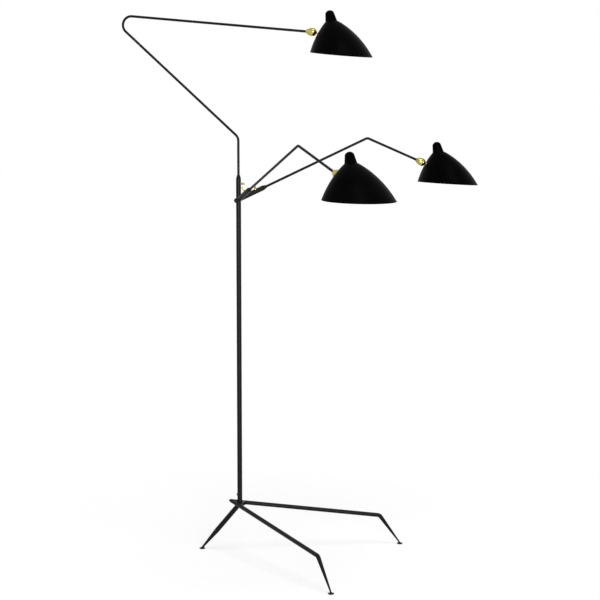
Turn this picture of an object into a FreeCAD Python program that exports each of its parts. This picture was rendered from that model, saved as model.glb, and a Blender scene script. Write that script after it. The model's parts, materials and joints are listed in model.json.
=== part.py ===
import FreeCAD, Part
import math
import os

# Three-arm floor lamp on a three-legged stand. Millimetres, degrees, +Z up.
# It is built round the pole's axis and moved at the end, so that the origin
# lies on the floor below the middle of the whole lamp.

V = FreeCAD.Vector
UP = V(0, 0, 1)

# Clearances
RUNNING_FIT = 0.05          # radial play of a turning fit
PRESS_FIT = 0.02            # radial play of a seat that never moves
CLEARANCE = 0.4             # air between a screw's tip and what it locks
SEAT_GAP = 0.2              # air round a lamp cap or holder in its seat

# Pole and hub
POLE_OD = 19.0
POLE_WALL = 1.5
HUB_HEIGHT = 1374.0         # where the sleeves' axes meet the pole's axis
HUB_CORE = 40.0             # height of the hub between pole and upper sleeve
HUB_BRANCH = 30.0           # length of each branch that carries a lower sleeve
HUB_TAIL = 9.0              # centre of the rounded end behind each branch
WIRE_BORE = 7.0

# Sleeves that the arms turn in
SLEEVE_BORE = 13.0
SPIGOT_LENGTH = 12.0
UPPER_SLEEVE_END = 93.0     # from the hub's centre to the tip of the nose
LOWER_SLEEVE_END = 120.0
NOSE_LENGTH = 16.0
NOSE_TIP_OD = 11.5
BUSH_DEPTH = 12.0
COLLAR_LENGTH = 10.0

# Thumbscrews
UPPER_SCREW_FROM_TIP = 33.0 # from the tip of the nose back to the screw
LOWER_SCREW_FROM_TIP = 45.0
SCREW_OD = 5.0
SCREW_BOSS_OD = 8.0
SCREW_BOSS_LENGTH = 3.5
SCREW_NECK_OD = 4.0
SCREW_NECK_LENGTH = 3.0
SCREW_HEAD_OD = 7.4
SCREW_HEAD_LENGTH = 9.0
SCREW_FLUTES = 10
SCREW_FLUTE_OD = 1.2
UPPER_SCREW_ROLL = -27.0    # turned about the sleeve, from its own zero
FRONT_SCREW_ROLL = 29.0
SIDE_SCREW_ROLL = 35.0

# Arms, all bent from one rod
ROD_OD = 9.5
ROD_WALL = 1.2
UPPER_HEADING = -13.3
UPPER_CORNER_RISE = 235.0   # above the hub's centre
UPPER_BACK_REACH = 517.0
UPPER_BACK_RISE = 701.0
UPPER_BALL_REACH = 294.8
UPPER_FALL_ANGLE = 5.42
UPPER_CORNER_RADIUS = 30.0
UPPER_BACK_RADIUS = 33.0
FRONT_HEADING = -64.3
SIDE_HEADING = 16.5
FRONT_TURN = 12.0           # arm turned in its sleeve at rest
SIDE_TURN = -0.7
UPPER_SHADE_HEADING = -9.0
FRONT_SHADE_HEADING = -49.6
SIDE_SHADE_HEADING = 15.2
UPPER_SHADE_TILT = 4.6      # far edge of the rim down from level
FRONT_SHADE_TILT = 2.9
SIDE_SHADE_TILT = 3.4
FRONT_RISE_ANGLE = 22.2     # slope of each sleeve, and so of its arm
SIDE_RISE_ANGLE = 24.1
ARM_RISE = 564.0
FRONT_BEND_ANGLE = 45.1
SIDE_BEND_ANGLE = 47.0
FRONT_ARM_FALL = 258.5
SIDE_ARM_FALL = 250.0
ARM_BEND_RADIUS = 15.0

# Stand
STAND_HEADING = -22.8       # direction midway between the two front legs
LEG_HALF_ANGLE = 33.4
LEG_OD = 16.0
LEG_WALL = 1.5
LEG_JOINT_HEIGHT = 202.7
LEG_KNEE_REACH = 587.0
LEG_KNEE_HEIGHT = 120.0
LEG_REACH = 670.0
LEG_KNEE_RADIUS = 18.0
LEG_TIP_OD = 5.0
REAR_JOINT_HEIGHT = 197.0
REAR_REACH = 163.5
REAR_TAPER = 100.0          # length of the tapered end of the rear leg
REAR_TIP_OD = 6.5
WEB_REACH = 8.0             # of the web in front of the pole
WEB_HEIGHT = 13.0
GROMMET_HEIGHT = 232.0
GROMMET_OD = 10.0
GROMMET_NECK_OD = 7.6
GROMMET_BORE = 5.6
GROMMET_LIP = 1.6

# Feet
FOOT_OD = 22.0
FOOT_THICKNESS = 4.0
FOOT_DOME = 1.2
PAD_OD = 18.5
PAD_THICKNESS = 1.5
PAD_RECESS = 0.5

# Ball swivels
BALL_OD = 19.0
CUP_BACK = 32.0             # from the ball's centre to the narrow end
CUP_BACK_OD = 12.6
CUP_MAX_OD = 31.0
CUP_MAX_AT = 10.0
CUP_MOUTH = 4.6             # from the ball's centre to the mouth
CUP_MOUTH_OD = 20.6
CUP_LIP_OD = 16.4
CUP_ROD_DEPTH = 17.0
TENSION_SCREW_OD = 4.4
TENSION_SCREW_BACK = 4.0
TENSION_SCREW_LENGTH = 4.0
TENSION_SLOT = 0.9
STUD_OD = 5.0
STUD_REACH = 13.5           # from the ball's centre to the shade's wall
STUD_TO_RIM = 15.6          # slope of the stud from the plane of the rim
STUD_SHOULDER_OD = 7.0
STUD_SHOULDER_LENGTH = 1.0
WASHER_OD = 9.0
WASHER_LENGTH = 2.0
SPACER_OD = 12.0
SPACER_LENGTH = 5.0
NUT_ACROSS_FLATS = 9.0
NUT_THICKNESS = 4.0

# Shade: sections (height above the rim, middle, half length, half width)
SHADE_WALL = 1.4
SHADE_SECTIONS = (
    (0.0, 0.0, 116.5, 134.0),
    (34.5, -8.0, 99.5, 113.0),
    (70.0, -19.0, 76.0, 85.0),
    (98.0, -29.0, 51.5, 56.0),
    (125.0, -46.5, 17.5, 18.0),
)
SWIVEL_ABOVE_RIM = 72.0
HORN_BASE_HEIGHT = 106.0
HORN_BASE_MIDDLE = -44.2
HORN_BASE_OD = 50.0
HORN_NECK_OD = 40.0
HORN_NECK_AT = 24.0
HORN_TOP_OD = 33.0
HORN_TOP_AT = 43.5
HORN_LENGTH = 55.5
HORN_LEAN = 16.2

# Lamp holder and lamp, measured down the horn's axis from its base
HOLDER_OD = 28.0
HOLDER_ABOVE = 40.0
HOLDER_BELOW = 12.0
HOLDER_SKIRT_OD = 34.0
HOLDER_SKIRT_LENGTH = 16.0
HOLDER_BORE = 14.6
HOLDER_BORE_DEPTH = 26.0
RING_ABOVE = 17.0
RING_THICKNESS = 4.0
CAP_OD = 13.9
CAP_LENGTH = 24.0
BULB_OD = 45.0
BULB_NECK_OD = 18.0
BULB_DROP = 36.0            # from the holder's mouth to the bulb's centre


def heading(angle):
    a = math.radians(angle)
    return V(math.cos(a), math.sin(a), 0)


def sloped(angle, slope):
    """Direction with a heading and a slope, positive upwards."""
    s = math.radians(slope)
    return heading(angle) * math.cos(s) + UP * math.sin(s)


def frame_at(origin, z_dir, x_dir):
    """Placement whose Z is z_dir and whose X leans towards x_dir."""
    z = V(z_dir).normalize()
    y = z.cross(x_dir).normalize()
    x = y.cross(z)
    return FreeCAD.Placement(origin, FreeCAD.Rotation(x, y, z, "ZXY"))


def placed(shape, placement):
    copy = shape.copy()
    copy.Placement = placement.multiply(copy.Placement)
    return copy


def rod(diameter, start, end, axis=UP, origin=V(0, 0, 0)):
    """Round bar along an axis, from start to end along it."""
    return Part.makeCylinder(diameter / 2, end - start, origin + axis * start, axis)


def cone(diameter_a, diameter_b, start, end, axis=UP, origin=V(0, 0, 0)):
    return Part.makeCone(diameter_a / 2, diameter_b / 2, end - start, origin + axis * start, axis)


def revolved(points):
    """Solid turned about Z from a closed outline of (radius, height) points."""
    outline = [V(r, 0, z) for r, z in points]
    face = Part.Face(Part.makePolygon(outline + outline[:1]))
    return face.revolve(V(0, 0, 0), UP, 360)


def bar(start, end, diameter):
    return Part.makeCylinder(diameter / 2, (end - start).Length, start, end - start)


def elbow(enter, along, centre, angle, diameter):
    """Bend of a bar that comes in along a direction and turns about a centre."""
    disc = Part.Face(Part.Wire(Part.makeCircle(diameter / 2, enter, along)))
    return disc.revolve(centre, (enter - centre).cross(along), angle)


def bent_bar(points, radii, diameter):
    """Round bar in straight runs, with a round bend at each inner point."""
    pieces = []
    start = points[0]
    for corner, after, radius in zip(points[1:-1], points[2:], radii):
        back = (start - corner).normalize()
        ahead = (after - corner).normalize()
        half = back.getAngle(ahead) / 2
        enter = corner + back * (radius / math.tan(half))
        leave = corner + ahead * (radius / math.tan(half))
        centre = corner + (back + ahead).normalize() * (radius / math.sin(half))
        pieces.append(bar(start, enter, diameter))
        pieces.append(elbow(enter, back * -1, centre, 180 - 2 * math.degrees(half), diameter))
        start = leave
    pieces.append(bar(start, points[-1], diameter))
    return pieces[0].multiFuse(pieces[1:])


def bent_tube(points, radii, diameter, wall):
    return bent_bar(points, radii, diameter).cut(bent_bar(points, radii, diameter - 2 * wall))


def half_space(origin, normal):
    """Large block that starts at a plane and lies on its normal's side."""
    size = 3 * LEG_REACH
    block = Part.makeBox(size, size, size, V(-size / 2, -size / 2, 0))
    side = V(0, 1, 0) if abs(normal.y) < 0.9 else V(1, 0, 0)
    return placed(block, frame_at(origin, normal, side))


# Stand. Its parts are drawn with the middle between the front legs along +X.

FOOT_TOP = PAD_THICKNESS - PAD_RECESS + FOOT_THICKNESS
VERTEX_SETBACK = (POLE_OD + LEG_OD) / 2 / math.sin(math.radians(LEG_HALF_ANGLE))
VERTEX = V(-VERTEX_SETBACK, 0, LEG_JOINT_HEIGHT)
REAR_JOINT = V(0, 0, REAR_JOINT_HEIGHT)
REAR_TIP = V(-REAR_REACH, 0, FOOT_TOP)


def leg_points(side):
    """Vertex, knee and tip of a front leg."""
    along = heading(side * LEG_HALF_ANGLE)
    knee = VERTEX + along * LEG_KNEE_REACH
    knee.z = LEG_KNEE_HEIGHT
    tip = VERTEX + along * LEG_REACH
    tip.z = FOOT_TOP
    return VERTEX, knee, tip


def front_leg_outer(side, diameter):
    """Leg from beyond the mitre to the end of its knee bend."""
    vertex, knee, tip = leg_points(side)
    back = (vertex - knee).normalize()
    down = (tip - knee).normalize()
    half = back.getAngle(down) / 2
    bend_end = knee + down * (LEG_KNEE_RADIUS / math.tan(half) + 1)
    leg = bent_bar((vertex + back * LEG_OD, knee, bend_end), (LEG_KNEE_RADIUS,), diameter)
    return leg, bend_end, down, tip


def front_leg(side):
    outer, bend_end, down, tip = front_leg_outer(side, LEG_OD)
    inner = front_leg_outer(side, LEG_OD - 2 * LEG_WALL)[0]
    length = (tip - bend_end).Length
    taper = Part.makeCone(LEG_OD / 2, LEG_TIP_OD / 2, length + LEG_TIP_OD, bend_end, down)
    leg = outer.cut(inner).fuse(taper)
    leg = leg.cut(half_space(V(0, 0, FOOT_TOP), V(0, 0, -1)))
    leg = leg.cut(half_space(VERTEX, V(0, -side, 0)))
    return leg.removeSplitter()


def rear_axis():
    return (REAR_TIP - REAR_JOINT).normalize()


def mitre_normal():
    """Normal of the mitre between pole and rear leg, on the pole's side."""
    return (UP - rear_axis()).normalize()


def leg_solids():
    """Front legs without their hollows, to cope other pieces against."""
    return [front_leg_outer(side, LEG_OD)[0] for side in (-1, 1)]


def rear_leg():
    axis = rear_axis()
    length = (REAR_TIP - REAR_JOINT).Length
    straight = length - REAR_TAPER
    leg = rod(POLE_OD, -POLE_OD, straight, axis, REAR_JOINT)
    leg = leg.cut(rod(POLE_OD - 2 * POLE_WALL, -POLE_OD, straight - POLE_OD, axis, REAR_JOINT))
    leg = leg.fuse(cone(POLE_OD, REAR_TIP_OD, straight, length + REAR_TIP_OD, axis, REAR_JOINT))
    leg = leg.cut(half_space(V(0, 0, FOOT_TOP), V(0, 0, -1)))
    leg = leg.cut(half_space(REAR_JOINT, mitre_normal()))
    for solid in leg_solids():
        leg = leg.cut(solid)
    return leg.removeSplitter()


def pole():
    bottom = REAR_JOINT_HEIGHT - POLE_OD
    top = HUB_HEIGHT - HUB_CORE / 2
    tube = rod(POLE_OD, bottom, top).cut(rod(POLE_OD - 2 * POLE_WALL, bottom, top))
    tube = tube.cut(half_space(REAR_JOINT, mitre_normal() * -1))
    hole = rod(GROMMET_NECK_OD + 2 * PRESS_FIT, 0, POLE_OD, V(-1, 0, 0), V(0, 0, GROMMET_HEIGHT))
    return tube.cut(hole)


def leg_web():
    """Filler brazed between the pole and the two front legs."""
    slope = math.tan(math.radians(LEG_HALF_ANGLE))
    front = POLE_OD / 2 + WEB_REACH
    near = VERTEX_SETBACK * slope
    far = (front + VERTEX_SETBACK) * slope
    base = REAR_JOINT_HEIGHT - WEB_HEIGHT / 2
    corners = [V(0, -near, base), V(front, -far, base), V(front, far, base), V(0, near, base)]
    web = Part.Face(Part.makePolygon(corners + corners[:1])).extrude(UP * WEB_HEIGHT)
    for solid in leg_solids() + [rod(POLE_OD, 0, LEG_JOINT_HEIGHT * 2)]:
        web = web.cut(solid)
    return web


def grommet():
    out = V(-1, 0, 0)
    centre = V(0, 0, GROMMET_HEIGHT)
    inside = POLE_OD / 2 - POLE_WALL - 1
    outside = POLE_OD / 2 + GROMMET_LIP
    lip = rod(GROMMET_OD, inside, outside, out, centre)
    lip = lip.cut(rod(POLE_OD, 0, HUB_HEIGHT))
    neck = rod(GROMMET_NECK_OD, inside, outside, out, centre)
    return lip.fuse(neck).cut(rod(GROMMET_BORE, 0, POLE_OD, out, centre)).removeSplitter()


def foot_disc():
    low = PAD_THICKNESS - PAD_RECESS
    half = FOOT_OD / 2
    shoulder = FOOT_TOP - FOOT_DOME
    crown = half * 0.62
    return revolved([
        (0, PAD_THICKNESS), (PAD_OD / 2 + PRESS_FIT, PAD_THICKNESS), (PAD_OD / 2 + PRESS_FIT, low),
        (half - 0.6, low), (half, low + 0.6), (half, shoulder), (crown, FOOT_TOP), (0, FOOT_TOP)])


def foot_pad():
    return rod(PAD_OD, 0, PAD_THICKNESS)


def stand():
    turn = FreeCAD.Placement(V(0, 0, 0), FreeCAD.Rotation(UP, STAND_HEADING))
    feet = {"front": leg_points(-1)[2], "side": leg_points(1)[2], "rear": REAR_TIP}
    nodes = {
        "pole": pole(),
        "rear_leg": rear_leg(),
        "front_leg": front_leg(-1),
        "side_leg": front_leg(1),
        "leg_web": leg_web(),
        "cord_grommet": grommet(),
    }
    for name, tip in feet.items():
        nodes[name + "_foot"] = foot_disc().translated(V(tip.x, tip.y, 0))
    pads = [foot_pad().translated(V(tip.x, tip.y, 0)) for tip in feet.values()]
    nodes["foot_pads"] = Part.Compound(pads)
    return {name: placed(shape, turn) for name, shape in nodes.items()}


# Hub, sleeves and thumbscrews. A sleeve is drawn along +Z from the hub's centre.

HUB_CENTRE = V(0, 0, HUB_HEIGHT)


def sleeve_frames():
    """Placement, seat, end, and the roll and height of the screw, for each sleeve."""
    front = sloped(FRONT_HEADING, FRONT_RISE_ANGLE)
    side = sloped(SIDE_HEADING, SIDE_RISE_ANGLE)
    return {
        "upper": (frame_at(HUB_CENTRE, UP, V(1, 0, 0)), HUB_CORE / 2, UPPER_SLEEVE_END,
                  UPPER_SCREW_ROLL, UPPER_SLEEVE_END - UPPER_SCREW_FROM_TIP),
        "front": (frame_at(HUB_CENTRE, front, UP), HUB_BRANCH, LOWER_SLEEVE_END,
                  FRONT_SCREW_ROLL, LOWER_SLEEVE_END - LOWER_SCREW_FROM_TIP),
        "side": (frame_at(HUB_CENTRE, side, UP), HUB_BRANCH, LOWER_SLEEVE_END,
                 SIDE_SCREW_ROLL, LOWER_SLEEVE_END - LOWER_SCREW_FROM_TIP),
    }


def branch(seat):
    """Branch of the hub with a rounded tail and a spigot."""
    body = rod(POLE_OD, -HUB_TAIL, seat)
    body = body.fuse(Part.makeSphere(POLE_OD / 2, V(0, 0, -HUB_TAIL)))
    return body.fuse(rod(SLEEVE_BORE - 2 * PRESS_FIT, seat, seat + SPIGOT_LENGTH))


def hub():
    half = HUB_CORE / 2
    pole_spigot = rod(POLE_OD - 2 * POLE_WALL - 2 * PRESS_FIT, -half - SPIGOT_LENGTH, -half)
    core = rod(POLE_OD, -half, half).fuse(pole_spigot)
    core = core.fuse(rod(SLEEVE_BORE - 2 * PRESS_FIT, half, half + SPIGOT_LENGTH))
    body = core.translated(HUB_CENTRE)
    bores = [rod(WIRE_BORE, -HUB_CORE, HUB_CORE).translated(HUB_CENTRE)]
    frames = sleeve_frames()
    for name in ("front", "side"):
        body = body.fuse(placed(branch(HUB_BRANCH), frames[name][0]))
        bores.append(placed(rod(WIRE_BORE, 0, HUB_BRANCH + SPIGOT_LENGTH), frames[name][0]))
    for bore in bores:
        body = body.cut(bore)
    return body.removeSplitter()


def sleeve(seat, end, screw_at):
    tube = rod(POLE_OD, seat, end - NOSE_LENGTH)
    tube = tube.cut(rod(SLEEVE_BORE, seat, end))
    hole = rod(SCREW_OD + 2 * RUNNING_FIT, 0, POLE_OD, V(1, 0, 0), V(0, 0, screw_at))
    return tube.cut(hole)


def nose_bush(end):
    """Bush with a tapered nose that closes a sleeve round its rod."""
    bore = ROD_OD / 2 + RUNNING_FIT
    seat = SLEEVE_BORE / 2 - PRESS_FIT
    base = end - NOSE_LENGTH
    shoulder = POLE_OD / 2
    tip = NOSE_TIP_OD / 2
    return revolved([
        (bore, base - BUSH_DEPTH), (seat, base - BUSH_DEPTH), (seat, base), (shoulder, base),
        (shoulder, base + 2), (shoulder - 0.9, base + 5), (tip + 0.6, end - 2), (tip, end - 0.6),
        (tip - 0.5, end), (bore, end)])


def thumbscrew(screw_at):
    """Knurled screw along +X that locks a rod in its sleeve."""
    axis = V(1, 0, 0)
    origin = V(0, 0, screw_at)
    boss = POLE_OD / 2 + CLEARANCE
    neck = boss + SCREW_BOSS_LENGTH
    head = neck + SCREW_NECK_LENGTH
    tip = head + SCREW_HEAD_LENGTH
    knob = rod(SCREW_HEAD_OD, head, tip, axis, origin)
    knob = knob.makeChamfer(0.8, [e for e in knob.Edges if e.Closed])
    for index in range(SCREW_FLUTES):
        side = V(0, 1, 0)
        turn = FreeCAD.Rotation(axis, 360.0 * index / SCREW_FLUTES)
        offset = turn.multVec(side) * (SCREW_HEAD_OD / 2 + SCREW_FLUTE_OD * 0.2)
        knob = knob.cut(rod(SCREW_FLUTE_OD, head - 1, tip + 1, axis, origin + offset))
    screw = rod(SCREW_OD, ROD_OD / 2 + CLEARANCE, boss, axis, origin)
    screw = screw.fuse(rod(SCREW_BOSS_OD, boss, neck, axis, origin))
    screw = screw.fuse(rod(SCREW_NECK_OD, neck, head, axis, origin))
    return screw.fuse(knob)


def rod_collar(seat):
    start = seat + SPIGOT_LENGTH
    collar = rod(SLEEVE_BORE - 2 * RUNNING_FIT, start, start + COLLAR_LENGTH)
    return collar.cut(rod(ROD_OD + 2 * PRESS_FIT, start, start + COLLAR_LENGTH))


def sleeves():
    nodes = {"hub": hub()}
    for name, (frame, seat, end, roll, screw_at) in sleeve_frames().items():
        rolled = frame.multiply(FreeCAD.Placement(V(0, 0, 0), FreeCAD.Rotation(UP, roll)))
        nodes[name + "_sleeve"] = placed(sleeve(seat, end, screw_at), rolled)
        nodes[name + "_bush"] = placed(nose_bush(end), frame)
        nodes[name + "_thumbscrew"] = placed(thumbscrew(screw_at), rolled)
        nodes[name + "_rod_collar"] = placed(rod_collar(seat), frame)
    return nodes


# Arms

def upper_points():
    along = heading(UPPER_HEADING)
    foot = HUB_CENTRE + UP * (HUB_CORE / 2 + SPIGOT_LENGTH)
    corner = HUB_CENTRE + UP * UPPER_CORNER_RISE
    back = HUB_CENTRE - along * UPPER_BACK_REACH + UP * UPPER_BACK_RISE
    fall = math.tan(math.radians(UPPER_FALL_ANGLE)) * (UPPER_BACK_REACH + UPPER_BALL_REACH)
    ball = HUB_CENTRE + along * UPPER_BALL_REACH + UP * (UPPER_BACK_RISE - fall)
    return [foot, corner, back, ball]


def lower_points(arm_heading, slope, bend_angle, turn, length):
    """Foot, bend and ball of a lower arm turned about its sleeve."""
    rise = sloped(arm_heading, slope)
    fall = sloped(arm_heading, slope - bend_angle)
    fall = FreeCAD.Rotation(rise, turn).multVec(fall)
    foot = HUB_CENTRE + rise * (HUB_BRANCH + SPIGOT_LENGTH)
    bend = HUB_CENTRE + rise * ARM_RISE
    return [foot, bend, bend + fall * length]


def arm_routes():
    """Points and bend radii of each arm, with its shade's heading and tilt."""
    front = lower_points(FRONT_HEADING, FRONT_RISE_ANGLE, FRONT_BEND_ANGLE,
                         FRONT_TURN, FRONT_ARM_FALL)
    side = lower_points(SIDE_HEADING, SIDE_RISE_ANGLE, SIDE_BEND_ANGLE,
                        SIDE_TURN, SIDE_ARM_FALL)
    return {
        "upper": (upper_points(), (UPPER_CORNER_RADIUS, UPPER_BACK_RADIUS),
                  UPPER_SHADE_HEADING, UPPER_SHADE_TILT),
        "front": (front, (ARM_BEND_RADIUS,), FRONT_SHADE_HEADING, FRONT_SHADE_TILT),
        "side": (side, (ARM_BEND_RADIUS,), SIDE_SHADE_HEADING, SIDE_SHADE_TILT),
    }


def arm_rod(points, radii):
    ball = points[-1]
    back = (points[-2] - ball).normalize()
    end = ball + back * (CUP_BACK - CUP_ROD_DEPTH)
    return bent_tube(points[:-1] + [end], radii, ROD_OD, ROD_WALL)


# Ball swivel. The cup is drawn along +Z with the ball's centre at the origin.

def swivel_cup():
    outline = Part.BSplineCurve()
    outline.interpolate([
        V(CUP_BACK_OD / 2, 0, -CUP_BACK),
        V(CUP_MAX_OD * 0.37, 0, -CUP_BACK * 0.75),
        V(CUP_MAX_OD / 2, 0, -CUP_MAX_AT),
        V(CUP_MAX_OD * 0.455, 0, -CUP_MAX_AT * 0.05),
        V(CUP_MOUTH_OD / 2, 0, CUP_MOUTH)])
    axis_points = [V(CUP_MOUTH_OD / 2, 0, CUP_MOUTH), V(0, 0, CUP_MOUTH), V(0, 0, -CUP_BACK),
                   V(CUP_BACK_OD / 2, 0, -CUP_BACK)]
    edges = [outline.toShape()] + Part.makePolygon(axis_points).Edges
    cup = Part.Face(Part.Wire(edges)).revolve(V(0, 0, 0), UP, 360)
    cup = cup.cut(Part.makeSphere(BALL_OD / 2 + RUNNING_FIT))
    cup = cup.cut(cone(CUP_LIP_OD, CUP_LIP_OD + 1.2, 0, CUP_MOUTH + 0.01))
    cup = cup.cut(rod(ROD_OD + 2 * PRESS_FIT, -CUP_BACK, CUP_ROD_DEPTH - CUP_BACK))
    cup = cup.cut(rod(WIRE_BORE, -CUP_BACK, 0))
    hole = rod(TENSION_SCREW_OD + 2 * PRESS_FIT, 0, CUP_MAX_OD, V(0, 1, 0), V(0, 0, -TENSION_SCREW_BACK))
    return cup.cut(hole)


def tension_screw():
    """Slotted screw that presses on the ball from the cup's side."""
    out = V(0, 1, 0)
    origin = V(0, 0, -TENSION_SCREW_BACK)
    start = BALL_OD / 2 + CLEARANCE
    end = start + TENSION_SCREW_LENGTH
    screw = rod(TENSION_SCREW_OD, start, end, out, origin)
    slot = Part.makeBox(TENSION_SCREW_OD, 1.0, TENSION_SLOT)
    slot.translate(origin + V(-TENSION_SCREW_OD / 2, end - 1.0, -TENSION_SLOT / 2))
    return screw.cut(slot)


# Shade. Its frame has the ball's centre at the origin, X away from the arm and
# Z square to the rim. The shade is drawn about the middle of its rim first.

def ellipse(height, middle, half_length, half_width):
    if half_width > half_length:
        curve = Part.Ellipse(V(middle, half_width, height), V(middle + half_length, 0, height),
                             V(middle, 0, height))
    else:
        curve = Part.Circle(V(middle, 0, height), UP, half_length)
    return Part.Wire(curve.toShape())


def shade_body(inset):
    """Oblique dome lofted through ellipses, shrunk by an inset."""
    wires = []
    for height, middle, half_length, half_width in SHADE_SECTIONS:
        side = inset * 1.25
        wires.append(ellipse(height, middle, half_length - side, half_width - side))
    return Part.makeLoft(wires, True, False)


def horn_frame():
    lean = math.radians(HORN_LEAN)
    axis = V(-math.sin(lean), 0, math.cos(lean))
    return frame_at(V(HORN_BASE_MIDDLE, 0, HORN_BASE_HEIGHT), axis, V(1, 0, 0))


def horn(inset):
    """Hollow horn on the shade that holds the lamp holder."""
    top = HORN_LENGTH - inset
    curve = Part.BSplineCurve()
    curve.interpolate([
        V(HORN_BASE_OD / 2 - inset, 0, 0),
        V(HORN_NECK_OD / 2 - inset, 0, HORN_NECK_AT),
        V(HORN_TOP_OD / 2 - inset, 0, HORN_TOP_AT)])
    shoulder = V(HORN_TOP_OD / 2 - inset, 0, HORN_TOP_AT)
    half = math.sqrt(0.5)
    bulge = V(shoulder.x * half, 0, HORN_TOP_AT + (top - HORN_TOP_AT) * half)
    dome = Part.BSplineCurve()
    dome.interpolate([shoulder, bulge, V(0, 0, top)],
                     InitialTangent=curve.tangent(curve.LastParameter)[0], FinalTangent=V(-1, 0, 0))
    closing = Part.makePolygon([V(0, 0, top), V(0, 0, 0), V(HORN_BASE_OD / 2 - inset, 0, 0)])
    face = Part.Face(Part.Wire([curve.toShape(), dome.toShape()] + closing.Edges))
    return placed(face.revolve(V(0, 0, 0), UP, 360), horn_frame())


def stud_axis():
    drop = math.radians(STUD_TO_RIM)
    return V(math.cos(drop), 0, -math.sin(drop))


def wall_point(outer):
    """Point of the shade's outer wall that the stud passes through."""
    beyond = V(-2 * SHADE_SECTIONS[0][2], 0, SWIVEL_ABOVE_RIM)
    probe = Part.makeLine(beyond, V(0, 0, SWIVEL_ABOVE_RIM))
    return min((v.Point for v in outer.common(probe).Vertexes), key=lambda p: p.x)


def shade_shell():
    """Shade with its horn, as one shell, and the solids it was made from."""
    outer = shade_body(0).fuse(horn(0)).removeSplitter()
    cavity = shade_body(SHADE_WALL).fuse(horn(SHADE_WALL))
    return outer, cavity


def hexagon_nut(start):
    flats = NUT_ACROSS_FLATS / math.sqrt(3)
    corners = [V(flats * math.cos(math.radians(a)), flats * math.sin(math.radians(a)), start)
               for a in range(0, 360, 60)]
    nut = Part.Face(Part.makePolygon(corners + corners[:1])).extrude(UP * NUT_THICKNESS)
    return nut.cut(rod(STUD_OD + 2 * PRESS_FIT, start, start + NUT_THICKNESS))


def ball_stud():
    tip = STUD_REACH + SPACER_LENGTH + NUT_THICKNESS + 2
    shoulder = STUD_REACH - WASHER_LENGTH - SEAT_GAP
    stud = Part.makeSphere(BALL_OD / 2).fuse(rod(STUD_OD, 0, tip))
    stud = stud.fuse(rod(STUD_SHOULDER_OD, shoulder - STUD_SHOULDER_LENGTH, shoulder))
    return stud.cut(rod(STUD_OD - 2, -BALL_OD, tip))


def lamp_parts():
    """Lamp holder, its ring and the lamp, drawn up the horn's axis."""
    mouth = -HOLDER_BELOW
    bore = rod(HOLDER_BORE, mouth, mouth + HOLDER_BORE_DEPTH)
    holder = rod(HOLDER_OD, mouth, HOLDER_ABOVE)
    holder = holder.fuse(cone(HOLDER_SKIRT_OD, HOLDER_OD, mouth, mouth + HOLDER_SKIRT_LENGTH)).cut(bore)
    cap_top = mouth + HOLDER_BORE_DEPTH - SEAT_GAP
    cap = rod(CAP_OD, cap_top - CAP_LENGTH, cap_top)
    centre = mouth - BULB_DROP
    glass_top = cap_top - CAP_LENGTH
    ball = Part.makeSphere(BULB_OD / 2, V(0, 0, centre))
    neck_low = centre + math.sqrt((BULB_OD / 2) ** 2 - (BULB_NECK_OD / 2 + 3) ** 2)
    glass = ball.fuse(cone(BULB_NECK_OD + 6, CAP_OD, neck_low, mouth))
    glass = glass.fuse(rod(CAP_OD, mouth, glass_top))
    return holder, cap, glass


def holder_ring(cavity):
    """Ring that wedges in the horn and carries the lamp holder."""
    ring = rod(HORN_BASE_OD, RING_ABOVE, RING_ABOVE + RING_THICKNESS)
    ring = ring.cut(rod(HOLDER_OD + 2 * SEAT_GAP, RING_ABOVE, RING_ABOVE + RING_THICKNESS))
    return placed(ring, horn_frame()).common(cavity)


def shade_parts():
    """Every piece of one shade and swivel, in the shade's frame."""
    outer, cavity = shade_shell()
    axis = stud_axis()
    wall = wall_point(outer)
    ball = wall - axis * STUD_REACH
    stud_frame = frame_at(ball, axis, V(0, 1, 0))
    hole = placed(rod(STUD_OD + 2 * RUNNING_FIT, 0, 2 * STUD_REACH), stud_frame)
    washer = rod(WASHER_OD, STUD_REACH - WASHER_LENGTH, STUD_REACH + WASHER_LENGTH)
    washer = placed(washer, stud_frame).cut(outer).cut(hole)
    spacer = rod(SPACER_OD, 0, STUD_REACH + SPACER_LENGTH)
    spacer = placed(spacer, stud_frame).common(cavity).cut(hole)
    holder, cap, glass = lamp_parts()
    tube = horn_frame()
    nodes = {
        "ball_stud": placed(ball_stud(), stud_frame),
        "stud_nut": placed(hexagon_nut(STUD_REACH + SPACER_LENGTH + SEAT_GAP), stud_frame),
        "shade": outer.cut(cavity).cut(hole),
        "stud_washer": washer,
        "stud_spacer": spacer,
        "lamp_holder": placed(holder, tube),
        "holder_ring": holder_ring(cavity),
        "lamp_cap": placed(cap, tube),
        "lamp_glass": placed(glass, tube),
    }
    return {name: shape.translated(ball * -1) for name, shape in nodes.items()}


def shade_frame(ball, shade_heading, tilt):
    turn = FreeCAD.Rotation(UP, shade_heading).multiply(FreeCAD.Rotation(V(0, 1, 0), tilt))
    return FreeCAD.Placement(ball, turn)


def arms():
    nodes = {}
    pieces = shade_parts()
    cup = swivel_cup()
    screw = tension_screw()
    for name, (points, radii, shade_heading, tilt) in arm_routes().items():
        ball = points[-1]
        cup_frame = frame_at(ball, ball - points[-2], UP)
        nodes[name + "_rod"] = arm_rod(points, radii)
        nodes[name + "_cup"] = placed(cup, cup_frame)
        nodes[name + "_tension_screw"] = placed(screw, cup_frame)
        frame = shade_frame(ball, shade_heading, tilt)
        for piece, shape in pieces.items():
            nodes[name + "_" + piece] = placed(shape, frame)
    return nodes


def lamp():
    nodes = stand()
    nodes.update(sleeves())
    nodes.update(arms())
    return nodes


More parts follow.
